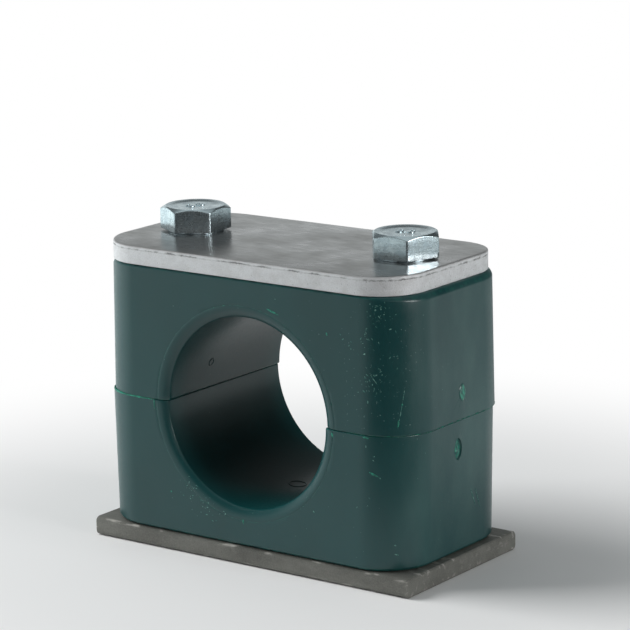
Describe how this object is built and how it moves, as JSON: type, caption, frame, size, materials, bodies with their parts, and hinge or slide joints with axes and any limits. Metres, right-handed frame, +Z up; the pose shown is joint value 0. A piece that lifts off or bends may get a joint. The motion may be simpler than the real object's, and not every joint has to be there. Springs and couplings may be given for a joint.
{
  "type": "hydraulic tube clamp",
  "caption": "Tube clamp in two moulded halves between a weld plate and a cover plate, opened and closed by two hexagon bolts.",
  "frame": {"origin": "centre of the weld plate's underside", "axes": "+Z up from the weld plate to the bolt heads, +X from the left bolt to the right bolt, +Y along the tube"},
  "size_m": [0.06, 0.03, 0.052],
  "materials": {
    "phosphated_steel": "dull grey phosphated steel",
    "green_plastic": "dark green moulded polypropylene, half gloss",
    "zinc_plate": "zinc-plated steel plate",
    "zinc_bolt": "bright bluish zinc-plated steel"
  },
  "bodies": {
    "base": {"weld_plate": "phosphated_steel", "threaded_boss_left": "phosphated_steel", "threaded_boss_right": "phosphated_steel", "clamp_half_lower": "green_plastic"},
    "top": {"clamp_half_upper": "green_plastic", "cover_plate": "zinc_plate"},
    "bolt_left": {"hex_bolt_left": "zinc_bolt"},
    "bolt_right": {"hex_bolt_right": "zinc_bolt"}
  },
  "joints": [
    {"name": "clamp_opening", "type": "slide", "parent": "base", "child": "top", "axis": [0, 0, 1], "range_m": [0, 0.006]},
    {"name": "bolt_left_turn", "type": "hinge", "parent": "top", "child": "bolt_left", "pos_m": [-0.02, 0, 0.048], "axis": [0, 0, 1], "range_deg": [0, 2160.1]},
    {"name": "bolt_right_turn", "type": "hinge", "parent": "top", "child": "bolt_right", "pos_m": [0.02, 0, 0.048], "axis": [0, 0, 1], "range_deg": [0, 2160.1]}
  ],
  "couplings": [
    {"joint": "bolt_left_turn", "follows": "clamp_opening", "rad_per_m": 6283.2},
    {"joint": "bolt_right_turn", "follows": "clamp_opening", "rad_per_m": 6283.2}
  ]
}
